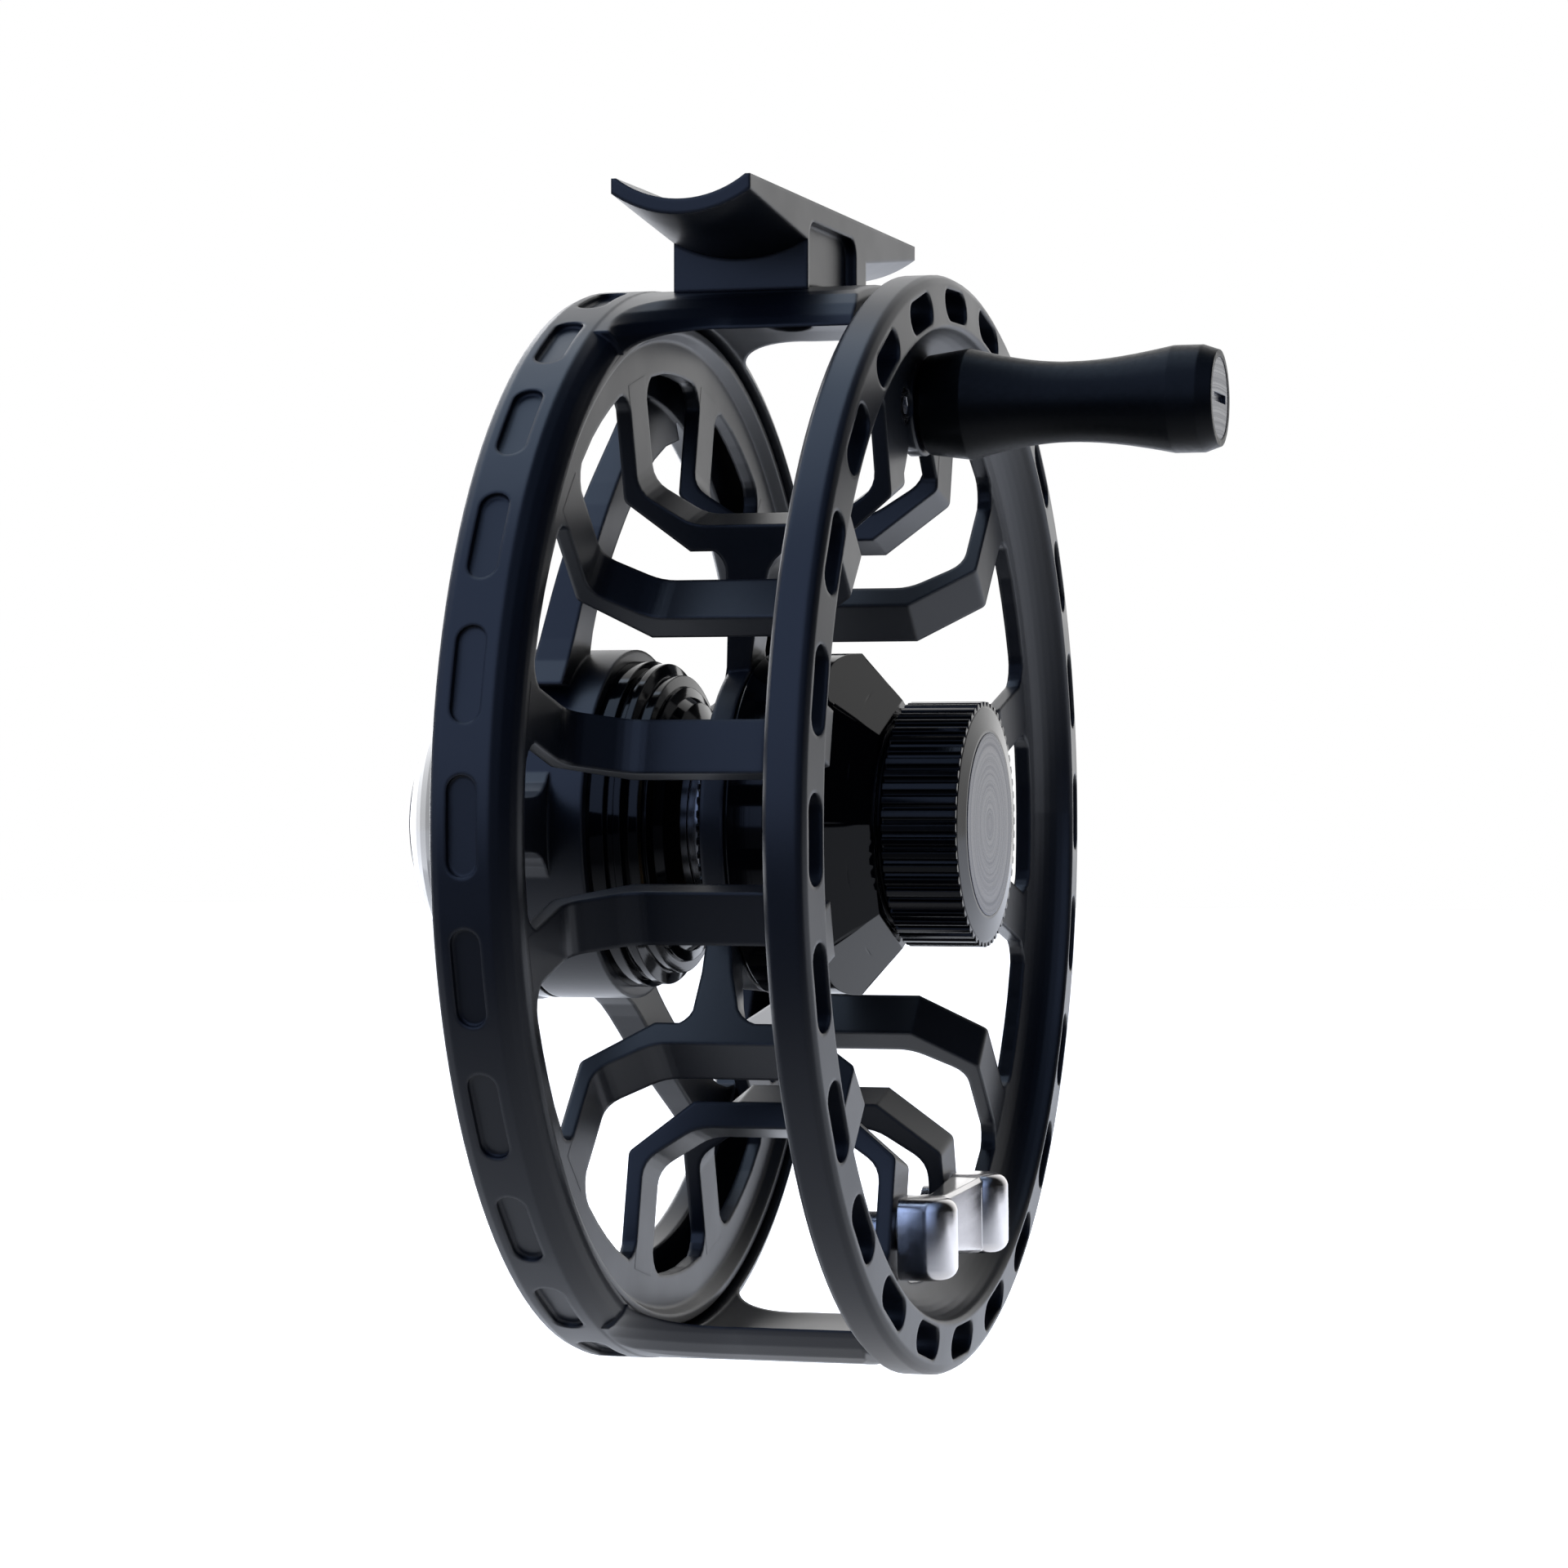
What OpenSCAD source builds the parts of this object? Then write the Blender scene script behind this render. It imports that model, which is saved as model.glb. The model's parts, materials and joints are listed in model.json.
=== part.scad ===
// Large-arbor fly reel with a skeleton spool, a half-cage frame and a disc drag.
// X runs along the spool axis towards the handle side, Y along the reel foot,
// Z up through the foot. The origin is on the spool axis, inside the arbor.
// All sizes are millimetres.

/* [Spool] */
// Outside radius of the spool's front rim
rim_r = 56; // [55.5:0.1:56.4]
// Number of arbor ribs
rib_count = 12; // [12]
// Width of a rib and its legs, measured around the spool
rib_w = 5.4; // [4.6:0.2:6.2]
// Thickness of the flange webs
web_t = 1.6; // [1.4:0.1:1.8]
// Distance between the outer faces of the two webs
spool_w = 28.2; // [27.8:0.1:28.4]
// Number of slots through the front rim
slot_count = 24; // [12, 24]

/* [Frame] */
// Outside radius of the frame ring
ring_r = 55.3; // [54.9:0.1:55.8]
// Radius of the bore that the spool's rear flange runs in
ring_bore_r = 52.5; // [52.4:0.1:52.8]
// Angle from the top of the frame to the upper bridge's edge on the line side
bridge_angle = 19.5; // [17:0.5:20]

/* [Foot] */
// Length of the foot along the rod
foot_len = 62; // [58:1:66]
// Width of the foot across the rod
foot_w = 14.2; // [13:0.2:14.6]
// Radius of the saddle that the rod sits in
saddle_r = 11; // [10:0.5:12]

/* [Handle] */
// Distance of the handle's axis from the spool's axis
handle_r = 43; // [42.5:0.1:43.2]
// Length of the grip
grip_len = 30.6; // [29:0.1:32]
// Largest radius of the grip, near the spool
grip_r = 5.7; // [5.4:0.05:6]
// Radius of the grip's waist
waist_r = 4.1; // [4.1:0.05:4.6]

/* [Knobs] */
// Outside radius of the ribbed front cap
cap_r = 12.55; // [12:0.05:13]
// Number of ribs on the front cap
cap_ribs = 56; // [48:2:64]
// Outside radius of the rear drag knob
knob_r = 18.4; // [18:0.1:19]
// Number of finger notches in the drag knob
knob_notches = 12; // [8:1:16]

/* [Hidden] */
$fn = 72;
fit = 0.05;          // radial running clearance
slack = 0.02;        // gap between pieces that touch
over = 1;            // how far a cutter reaches past the face it cuts
inset = 0.1;         // keeps a joined piece just inside the surface it grows from

black = "#1d2026";
gloss = "#0c0d10";
steel = "#b9bcc2";
carbon = "#2c2d30";

web_front = spool_w / 2 - 0.7;
web_rear = spool_w / 2 + 0.7;
web_in = web_front - web_t;
rear_in = web_rear - web_t;
rib_pitch = 360 / rib_count;
window_r = 46.8;     // outer radius of the spool windows
leg_top_r = 47;      // where a leg ends in the rim
leg_foot_r = 35;     // where a leg bends into the arbor
rib_turn = 1.3;      // angle of the rib pattern against the handle
arbor_r = 32.4;      // outside of a rib, where line is wound
arbor_in_r = 29.7;
rim_back = 12.9;
rim_front = 17.4;
slot_r = 52.9;
slot_len = 8.7;
slot_w = 3.4;
flange_r = 52.0;
boss_edge = 38.2;    // inner edge of the plate that carries the handle
hub_r = 14;
hub_bore_r = 11;
hub_back = -5.25;
hub_front = 9;
collar_r = 17.6;
spoke_angles = [105, 225, -15];

ring_back = -20;
ring_front = -11.3;
pocket_len = 9.6;
pocket_w = 3.0;
pocket_depth = 0.8;
bridge_front = 10.7;
bridge_tilt = 10;    // lean of a bridge's edges from straight up
bridge_far = 13.6;   // angle to the upper bridge's other edge
low_near = 16.7;     // the same two angles for the lower bridge
low_far = 11.4;
flare_r = 8.2;
annulus_in_r = 45;
frame_hub_r = 18.2;
frame_hub_bore_r = 15.2;
frame_hub_back = -26;
frame_hub_front = -17.4;

foot_x = -2.85;
foot_edge = 63.2;
saddle_axis = foot_edge + sqrt(saddle_r * saddle_r - foot_w * foot_w / 4) + 0.4;
stem_half = 11;
screw_y = 6;

spindle_r = 3;
neck_r = 8;
neck_in_r = 6.5;
cover_back = -27.4;
cover_front = -26.05;
pin_ring_r = 9;
push_pin_r = 1.2;
bearing_w = 3.5;
bearing_starts = [-22, 1];
weight_turn = 2.3;
weight_angles = [-75 + weight_turn, -105 + weight_turn];
weight_r = 41.9;
handle_base = 13.75;
plate_screw_angle = 9;
pawl_r = 9.9;        // distance of the pawl's pivot from the axis
click_teeth = 60;

// ---------- helpers ----------

// Turns a shape drawn about Z so that its axis is the spool axis, X.
// Angles then count from +Y towards +Z.
module along_x() {
    rotate([90, 0, 90]) children();
}

// A solid of revolution about the spool axis, from points [radius, x].
module turned(points) {
    along_x() rotate_extrude() polygon(points);
}

// A plain ring about the spool axis.
module ring(r_out, r_in, x0, x1) {
    along_x() translate([0, 0, x0]) difference() {
        cylinder(r = r_out, h = x1 - x0);
        translate([0, 0, -over]) cylinder(r = r_in, h = x1 - x0 + 2 * over);
    }
}

// A straight rod parallel to the spool axis.
module rod(r, x0, x1) {
    along_x() translate([0, 0, x0]) cylinder(r = r, h = x1 - x0);
}

// Puts children at a radius and angle about the spool axis.
module at_polar(r, a) {
    translate([0, r * cos(a), r * sin(a)]) children();
}

// A slab standing in the radius and X plane at one angle, from points [radius, x].
module radial_slab(points, width, angle) {
    rotate([angle, 0, 0]) rotate([0, 0, 90]) mirror([0, 1, 0])
        translate([0, 0, -width / 2]) linear_extrude(width) polygon(points);
}

// Points of an arc.
function arc(cx, cy, r, a0, a1, steps) = [for (i = [0:steps])
    let (a = a0 + (a1 - a0) * i / steps) [cx + r * cos(a), cy + r * sin(a)]];

// Points that round the corner b between its neighbours a and c.
function fillet(a, b, c, r, steps) = let (
        u = (a - b) / norm(a - b),
        v = (c - b) / norm(c - b),
        half = acos(u * v) / 2,
        mid = b + (u + v) / norm(u + v) * r / sin(half),
        p = b + u * r / tan(half) - mid,
        q = b + v * r / tan(half) - mid,
        a0 = atan2(p[1], p[0]),
        sweep = atan2(q[1], q[0]) - a0,
        turn = sweep > 180 ? sweep - 360 : sweep < -180 ? sweep + 360 : sweep)
    arc(mid[0], mid[1], r, a0, a0 + turn, steps);

// An outline with its corners rounded, from points and one radius each.
function rounded(points, radii, steps) = let (n = len(points))
    [for (i = [0:n - 1]) each radii[i] == 0 ? [points[i]]
        : fillet(points[(i + n - 1) % n], points[i], points[(i + 1) % n], radii[i], steps)];

// Outline of a slot with round ends, its length along the first axis.
function slot_outline(len, wid) = concat(
    arc((len - wid) / 2, 0, wid / 2, -90, 90, 10),
    arc((wid - len) / 2, 0, wid / 2, 90, 270, 10));

// Outline of a box with round corners.
function soft_box(w, h, r) = concat(
    arc(w / 2 - r, h / 2 - r, r, 0, 90, 6), arc(r - w / 2, h / 2 - r, r, 90, 180, 6),
    arc(r - w / 2, r - h / 2, r, 180, 270, 6), arc(w / 2 - r, r - h / 2, r, 270, 360, 6));

// ---------- spool ----------

// Half of a window's outline, about the middle of the window: out along the leg,
// round the corner and along the outer edge.
function window_side(top, corner) = let (
        half = rib_w / 2 - inset + corner,
        mid = rib_pitch / 2,
        // corner centre in the leg's own axes, u along the leg and v across it
        u = sqrt(pow(top - corner, 2) - half * half),
        turn = atan2(half, u),
        local = concat([[20, rib_w / 2 - inset]], arc(u, half, corner, -90, turn, 5)))
    [for (p = local) [p[0] * cos(mid) + p[1] * sin(mid), -p[0] * sin(mid) + p[1] * cos(mid)]];

function window_outline(top, corner) = let (
        side = window_side(top, corner),
        last = side[len(side) - 1],
        end = atan2(last[1], last[0]))
    concat(side, [for (i = [1:3]) [top * cos(end - end * i / 2), top * sin(end - end * i / 2)]],
        [for (i = [len(side) - 2:-1:0]) [side[i][0], -side[i][1]]]);

// The plate window stops short under the handle.
function short_window(top, corner) = let (
        w = top * tan(rib_pitch / 2) - rib_w / 2 / cos(rib_pitch / 2))
    concat([[20, -20 * tan(rib_pitch / 2) + rib_w / 2 / cos(rib_pitch / 2)]],
        [[top - corner, -w + corner * 0.3]], [[top, -w + corner]], [[top, w - corner]],
        [[top - corner, w - corner * 0.3]],
        [[20, 20 * tan(rib_pitch / 2) - rib_w / 2 / cos(rib_pitch / 2)]]);

// Closed outline of one rib with both its legs, as [radius, x].
rib_outline = rounded([
    [leg_top_r, web_front], [leg_foot_r, web_front], [arbor_in_r, 6.8],
    [arbor_in_r, -8.2], [leg_foot_r, -web_rear], [leg_top_r, -web_rear],
    [leg_top_r, -rear_in], [leg_foot_r + 1, -rear_in], [arbor_r, -7.7],
    [arbor_r, 6.4], [leg_foot_r + 1, web_in], [leg_top_r, web_in]],
    [0, 0.9, 0, 0, 0.9, 0, 0, 3, 5, 5, 3, 0], 4);

// Outline of a spoke between the hub and a rib, as [radius, x].
spoke_outline = concat(
    [[hub_r - 0.5, -2.8], [18, -2.8], [23, -1.6]],
    arc(26, 3.6, 4, -80, 0, 5),
    [[30.6, 4.4], [30.6, -8.4]],
    arc(27.6, -7.2, 2.6, 0, 80, 5),
    [[23, -4.8], [17.5, -5.4], [15, -6.0], [hub_r - 0.5, -6.6]]);

// Cuts one window through a web.
module window_cut(index, outline, x0) {
    rotate([index * rib_pitch, 0, 0]) along_x() translate([0, 0, x0 - over])
        linear_extrude(web_t + 2 * over) polygon(outline);
}

// The front flange: web, cove and slotted rim.
module front_flange() {
    handle_window = 90 / rib_pitch;
    difference() {
        turned(concat([[36, web_in + slack], [50.4, web_in + slack], [51, rim_back],
            [rim_r - 0.5, rim_back], [rim_r, rim_back + 0.5], [rim_r, rim_front - 1.3],
            [rim_r - 0.3, rim_front - 0.75], [rim_r - 0.9, rim_front - 0.42], [50.9, rim_front]],
            arc(46.4, rim_front + 0.3, 4.2, -8, -80, 7),
            [[46.2, web_front - slack], [36, web_front - slack]]));
        for (i = [0:rib_count - 1])
            window_cut(i, i == handle_window ? short_window(boss_edge, 2.5)
                : window_outline(window_r, 2.8), web_in);
        for (i = [0:slot_count - 1])
            rotate([i * 360 / slot_count, 0, 0]) along_x() translate([slot_r, 0, rim_back - over])
                rotate(90) linear_extrude(rim_front - rim_back + 2 * over)
                    polygon(slot_outline(slot_len, slot_w));
    }
}

// The rear flange: a plain rim that runs inside the frame ring.
module rear_flange() {
    difference() {
        turned([[36, slack - web_rear], [flange_r - 0.4, slack - web_rear],
            [flange_r, -web_rear + 0.4], [flange_r, -12.4], [flange_r - 0.3, -12.1], [50.9, -12.1],
            [50.2, -rear_in - slack], [36, -rear_in - slack]]);
        for (i = [0:rib_count - 1])
            window_cut(i, window_outline(window_r, 2.8), -web_rear);
    }
}

module spool_body() {
    color(black) difference() {
        union() {
            rotate([rib_turn, 0, 0]) {
                front_flange();
                rear_flange();
                for (i = [0:rib_count - 1])
                    radial_slab(rib_outline, rib_w, (i + 0.5) * rib_pitch);
                for (a = spoke_angles)
                    radial_slab(spoke_outline, rib_w, a);
            }
            // hub barrel with its front web
            turned([[hub_bore_r, hub_back], [hub_r, hub_back], [hub_r, hub_front],
                [9, hub_front], [9, 7], [hub_bore_r, 7]]);
            // flange between the barrel and the spokes
            turned([[hub_r - 0.5, hub_back], [17.2, hub_back], [17.4, -2.8], [hub_r - 0.5, -2.8]]);
            // handle boss
            at_polar(handle_r, 90) rod(5.2, web_in + 0.3, handle_base - 0.15);
        }
        at_polar(handle_r, 90) rod(2 + slack, web_in - over, handle_base + over);
        for (a = weight_angles)
            at_polar(weight_r, a) rod(1.05, web_in - over, web_front + over);
        for (s = [-1, 1])
            at_polar(handle_r, 90 + s * plate_screw_angle) {
                rod(0.95, web_in - over, web_front);
                rod(1.95, web_front - 1.1, web_front + over);
            }
    }
}

// Socket screws beside the handle, flush with the flange.
module plate_screws() {
    color(steel) for (s = [-1, 1])
        at_polar(handle_r, 90 + s * plate_screw_angle) difference() {
            union() {
                rod(0.93, web_in - 0.6, web_front - 1);
                rod(1.9, web_front - 1.08, web_front - 0.1);
            }
            along_x() translate([0, 0, web_front - 0.7]) cylinder(r = 1, h = 2, $fn = 6);
        }
}

// Glossy collar over the hub: turned grooves, a sloping front with eight flats
// and a thin groove along each ridge.
module hub_collar() {
    slope = 46;
    color(gloss) difference() {
        turned([[hub_r + slack, -2.75], [collar_r - 0.4, -2.75], [collar_r, -2.35], [collar_r, 1.4],
            [collar_r - 0.25, 1.5], [collar_r - 0.25, 1.9], [collar_r, 2], [collar_r, 3.4],
            [collar_r - 0.25, 3.5], [collar_r - 0.25, 3.9], [collar_r, 4], [collar_r, 7.6],
            [collar_r - 1, 9.4], [14.2, 10], [13.2, 11.2], [11.2, 11.2], [11.2, 9.6], [10.4, 9.2],
            [10.4, hub_front + slack], [hub_r + slack, hub_front + slack]]);
        for (i = [0:7])
            rotate([i * 45 + 22.5, 0, 0]) translate([5.6, collar_r, 0]) rotate([0, 0, -slope])
                translate([-12, 0, -12]) cube([24, 12, 24]);
        for (i = [0:7])
            rotate([i * 45, 0, 0]) translate([7.2, collar_r - 0.6, -0.2]) rotate([0, 0, -slope])
                cube([5.4, 2.3, 0.4]);
    }
}

// Toothed ring: fine teeth outside, click teeth inside.
module click_ring() {
    step = 360 / click_teeth;
    outside = [for (i = [0:click_teeth - 1])
        for (k = [[0.05, 13.5], [0.45, 13.5], [0.6, 13], [0.9, 13]])
            [k[1] * cos((i + k[0]) * step), k[1] * sin((i + k[0]) * step)]];
    inside = [for (i = [0:click_teeth - 1]) for (k = [[0, 11.6], [0.5, 12.15]])
        [k[1] * cos((i + k[0]) * step), k[1] * sin((i + k[0]) * step)]];
    color(gloss) along_x() translate([0, 0, -6.8]) difference() {
        linear_extrude(1.5) polygon(outside);
        translate([0, 0, -over]) linear_extrude(1.5 + 2 * over) polygon(inside);
    }
}

module clutch_shell() {
    color(steel) ring(hub_bore_r - slack, 9.9, -3.4, 4.5);
}

module clutch_rollers() {
    color(steel) for (i = [0:9])
        at_polar(8.95, i * 36) rod(0.9, -3, 4.1);
}

module spool_bushes() {
    color("#8c6d3f") {
        ring(hub_bore_r - slack, neck_r + fit, -5.1, -3.5);
        ring(hub_bore_r - slack, neck_r + fit, 4.6, 6.8);
    }
}

// Sprung collet that holds the spool on the spindle.
module latch_collet() {
    color(steel) difference() {
        ring(5.9, spindle_r + fit, 8, 14);
        for (i = [0:2])
            rotate([i * 120, 0, 0]) translate([10, 2, -0.4]) cube([5, 5, 0.8]);
    }
}

// Counterweight: two upright bars with rounded noses, joined by a waist that dips in
// the middle. Three outlines, each drawn from another side, meet in it.
module counterweight() {
    base = 13.8;
    nose = 19.5;
    high = 4.15;
    // from above, as [x, y] for the +Y half
    flank = concat([[15.8, 0], [17.1, 7.4]], arc(16.6, 10.6, 2.9, -70, 90, 9), [[base - 1, 13.5]]);
    above = concat(flank, [for (i = [len(flank) - 1:-1:1]) [flank[i][0], -flank[i][1]]]);
    // along the bars, as [x, z] for the +Z half
    crown = concat([[nose, 0]], arc(nose - 1.9, high - 1.9, 1.9, 0, 88, 6), [[base - 1, high + 0.3]]);
    beside = concat(crown, [for (i = [len(crown) - 1:-1:1]) [crown[i][0], -crown[i][1]]]);
    waist = rounded([[13.7, -high - 0.1], [13.7, high + 0.1], [7.4, high + 0.1], [0, 3.1],
        [-7.4, high + 0.1], [-13.7, high + 0.1], [-13.7, -high - 0.1], [-7.4, -high - 0.1], [0, -3.1],
        [7.4, -high - 0.1]], [1.2, 1.2, 0, 0, 0, 1.2, 1.2, 0, 0, 0], 5);
    color(steel) difference() {
        union() {
            rotate([weight_turn, 0, 0]) translate([0, 0, -41.6]) intersection() {
                translate([0, 0, -10]) linear_extrude(20) polygon(above);
                translate([0, 20, 0]) rotate([90, 0, 0]) linear_extrude(40) polygon(beside);
                translate([base, 0, 0]) rotate([90, 0, 90]) linear_extrude(10) polygon(waist);
            }
            for (a = weight_angles)
                at_polar(weight_r, a) rod(2.3, web_front + slack, base + 1);
        }
        for (a = weight_angles)
            at_polar(weight_r, a) rod(1.05, web_front, 17.2);
    }
}

module counterweight_screws() {
    color(steel) for (a = weight_angles)
        at_polar(weight_r, a) difference() {
            union() {
                rod(1, web_in - 0.7, 17);
                rod(1.9, web_in - 1.6, web_in - slack);
            }
            along_x() translate([0, 0, web_in - 2]) cylinder(r = 0.8, h = 1.1, $fn = 6);
        }
}

// ---------- handle ----------

module handle_pin() {
    color(steel) at_polar(handle_r, 90) difference() {
        rod(2, web_in - 3.4, 40);
        rod(1.1, 34, 41);
    }
}

module handle_nut() {
    color(steel) at_polar(handle_r, 90) difference() {
        along_x() translate([0, 0, web_in - 2.5]) cylinder(r = 3.7, h = 2.5 - slack, $fn = 6);
        rod(2 + slack, web_in - 4, web_in + over);
    }
}

module handle_screw() {
    color(steel) at_polar(handle_r, 90) difference() {
        union() {
            rod(1.08, 34.4, 41);
            rod(3.4, 40.05, 41.8);
        }
        along_x() translate([0, 0, 41]) cylinder(r = 1.3, h = 2, $fn = 6);
    }
}

// Radius of the grip between its two swells, t from -1 to 1 about the waist.
function grip_radius(t, end_r) = waist_r + (end_r - waist_r) * (1 - cos(t * 85)) / (1 - cos(85));

// Grip that swells near the base, draws in to a waist and ends in a band.
module handle_grip() {
    steps = 10;
    tip = handle_base + grip_len;
    band_r = grip_r - 0.25;
    first = handle_base + 4.8;
    waist = handle_base + 15;
    last = tip - 4.6;
    color(black) at_polar(handle_r, 90) difference() {
        turned(concat([[0, handle_base], [grip_r - 1.1, handle_base], [grip_r - 0.6, handle_base + 0.5]],
            [for (i = [0:steps]) [grip_radius(1 - i / steps, grip_r), first + (waist - first) * i / steps]],
            [for (i = [1:steps]) [grip_radius(i / steps, band_r), waist + (last - waist) * i / steps]],
            [[band_r, tip - 1.6], [band_r - 0.55, tip], [0, tip]]));
        rod(3, handle_base - over, 40);
        rod(3.9, 39.9, tip - 1.7);
        rod(4.2, tip - 1.8, tip + over);
    }
}

module handle_bushes() {
    color("#8c6d3f") at_polar(handle_r, 90) {
        ring(3 - slack, 2 + fit, handle_base + 0.1, handle_base + 5);
        ring(3 - slack, 2 + fit, 34.9, 39.8);
    }
}

// Plain cap in the end of the grip, with a coin slot.
module handle_end_cap() {
    tip = handle_base + grip_len;
    color(steel) at_polar(handle_r, 90) difference() {
        rod(4.2 - slack, tip - 1.65, tip - 0.05);
        translate([tip - 0.55, -2.9, -0.45]) cube([1, 5.8, 0.9]);
    }
}

// ---------- front cap ----------

module cap_core() {
    color(steel) turned([[6, 7.1], [8.95, 7.1], [8.95, 16.6], [7.4, 16.6], [7.4, 17.4], [0, 17.4],
        [0, 15.6], [6, 15.6]]);
}

// Ribbed outline of the cap's grip.
function ribbed(r, depth, count) = [for (i = [0:count - 1])
    for (k = [[0, 0], [0.44, 0], [0.54, depth * 0.75], [0.72, depth], [0.9, depth * 0.75]])
        [(r - k[1]) * cos((i + k[0]) * 360 / count), (r - k[1]) * sin((i + k[0]) * 360 / count)]];

module cap_knob() {
    color(gloss) difference() {
        union() {
            along_x() translate([0, 0, 12.3]) linear_extrude(7.7) polygon(ribbed(cap_r, 0.5, cap_ribs));
            turned([[9, 11.3], [10.6, 11.3], [10.6, 11.8], [11.4, 11.8], [11.9, 12.4], [9, 12.4]]);
            turned([[0, 19.8], [cap_r - 0.45, 19.8], [cap_r - 0.6, 20.05], [9.7, 20.4], [0, 20.4]]);
        }
        rod(8.95 + slack, 11, 17.5);
        rod(9.35, 19.1, 21);
    }
}

// Plain brushed disc set in the front of the cap.
module cap_disc() {
    color("#3b3d42") rod(9.3, 19.15, 20.45);
}

module cap_seal() {
    color(carbon) along_x() translate([0, 0, 10.2]) rotate_extrude() translate([9.75, 0]) circle(r = 0.6);
}

// ---------- frame ----------

// Outer profile of the ring, as [radius, x].
ring_profile = [
    [ring_bore_r, ring_back + 2.8], [annulus_in_r, ring_back + 2.8], [annulus_in_r, ring_back + 0.4],
    [annulus_in_r + 0.4, ring_back], [ring_r - 1.2, ring_back], [ring_r - 0.35, ring_back + 0.35],
    [ring_r, ring_back + 1.2], [ring_r, -13.8], [54.75, -12.9], [54.1, -12.1], [53.4, -11.6],
    [ring_bore_r, ring_front]];

// Rounding of a bridge's long edge: how far each point lies back from the edge,
// and its height.
edge_round = [
    [-0.9, 49.4], [0, 51.9], [0.8, 52.95], [2.1, 53.95], [3.8, 54.8], [5.7, 55.25], [7.7, 55.4]];

// How far a bridge's edge lies from the middle, in the leaning axes of that edge.
function edge_at(angle) = ring_bore_r * sin(angle - bridge_tilt);

// All that lies outside one edge of a bridge: a straight strip along the bridge, and
// a trumpet for the flare by the ring. It is drawn for an edge on the -Y side, in
// axes that lean with it; soft scales the rounding.
module edge_cut(angle, soft) {
    flare_x = ring_front + flare_r - 0.2;
    last = len(edge_round) - 1;
    rotate([bridge_tilt, 0, 0]) {
        along_x() translate([0, 0, flare_x]) linear_extrude(20)
            polygon(concat([[-40, 40], [-0.9 * soft - edge_at(angle), 40]],
                [for (p = edge_round) [soft * p[0] - edge_at(angle), p[1]]],
                [[soft * edge_round[last][0] - edge_at(angle), 60], [-40, 60]]));
        translate([flare_x, 0.1 - edge_at(angle) - flare_r, 0])
            rotate_extrude() polygon(concat([[0, 40], [flare_r - 0.9 * soft, 40]],
                [for (p = edge_round) [flare_r + soft * p[0], p[1]]],
                [[flare_r + soft * edge_round[last][0], 60], [0, 60]]));
    }
}

// A bridge on the +Z side, from the angles of its two edges.
module bridge(near, far) {
    outer = ring_r - inset;
    difference() {
        intersection() {
            turned([[ring_bore_r + inset, ring_back + 1.4], [outer, ring_back + 1.4],
                [outer, bridge_front - 0.9], [outer - 0.25, bridge_front - 0.3],
                [outer - 0.85, bridge_front], [ring_bore_r + inset, bridge_front]]);
            along_x() translate([0, 0, -30]) linear_extrude(60)
                polygon([[0, 0], [-60 * tan(near + 8.2), 60], [60 * tan(far + 8.2), 60]]);
        }
        edge_cut(near, 1);
        mirror([0, 1, 0]) edge_cut(far, 0.5);
    }
}

// Curved arm between the frame's hub and the ring, drawn flat.
function arm_outline(a_hub, a_ring, bulge) = let (
        steps = 14,
        a_mid = (a_hub + a_ring) / 2 + bulge,
        p0 = 16.6 * [cos(a_hub), sin(a_hub)],
        p1 = 30 * [cos(a_mid), sin(a_mid)],
        p2 = 47 * [cos(a_ring), sin(a_ring)],
        // middle of the arm, and the half width set square to it
        mid = [for (i = [0:steps]) let (t = i / steps)
            (1 - t) * (1 - t) * p0 + 2 * t * (1 - t) * p1 + t * t * p2],
        side = [for (i = [0:steps]) let (t = i / steps, d = (1 - t) * (p1 - p0) + t * (p2 - p1))
            (2.7 + 3.4 * pow(abs(2 * t - 1), 5)) * [-d[1], d[0]] / norm(d)])
    concat([for (i = [0:steps]) mid[i] + side[i]], [for (i = [steps:-1:0]) mid[i] - side[i]]);

arms = [[120, 77, 8], [-58, -47, -4], [180, 180, 0], [10, 15, 4]];

module frame_arms() {
    intersection() {
        turned([[16.2, frame_hub_back + 0.6], [annulus_in_r + 1, ring_back + 0.1],
            [annulus_in_r + 1, ring_back + 2.7], [16.2, frame_hub_back + 4.6]]);
        union() for (a = arms)
            along_x() translate([0, 0, -40]) linear_extrude(40)
                polygon(arm_outline(a[0], a[1], a[2]));
    }
}

module frame_shell() {
    pocket_step = 15;
    color(black) difference() {
        union() {
            turned(ring_profile);
            bridge(bridge_angle, bridge_far);
            mirror([0, 0, 1]) bridge(low_near, low_far);
            frame_arms();
            turned([[frame_hub_bore_r, frame_hub_back], [frame_hub_r - 0.4, frame_hub_back],
                [frame_hub_r, frame_hub_back + 0.4], [frame_hub_r, frame_hub_front],
                [frame_hub_bore_r, frame_hub_front]]);
        }
        // blind pockets around the ring, none under the bridges
        for (i = [0:23])
            if (i % 12 != 6)
                rotate([i * pocket_step, 0, 0]) translate([-16.5, ring_r - pocket_depth, 0])
                    rotate([-90, 0, 0]) rotate(90) linear_extrude(4)
                        polygon(slot_outline(pocket_len, pocket_w));
        // foot screws: shank and head
        for (s = [-1, 1])
            translate([foot_x, s * screw_y, 50]) {
                cylinder(r = 1.55, h = 10);
                cylinder(r = 2.45, h = 4.2);
            }
        for (i = [0:2])
            at_polar(16.7, i * 120 + 30) rod(0.8, frame_hub_back - over, -22);
    }
}

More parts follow.
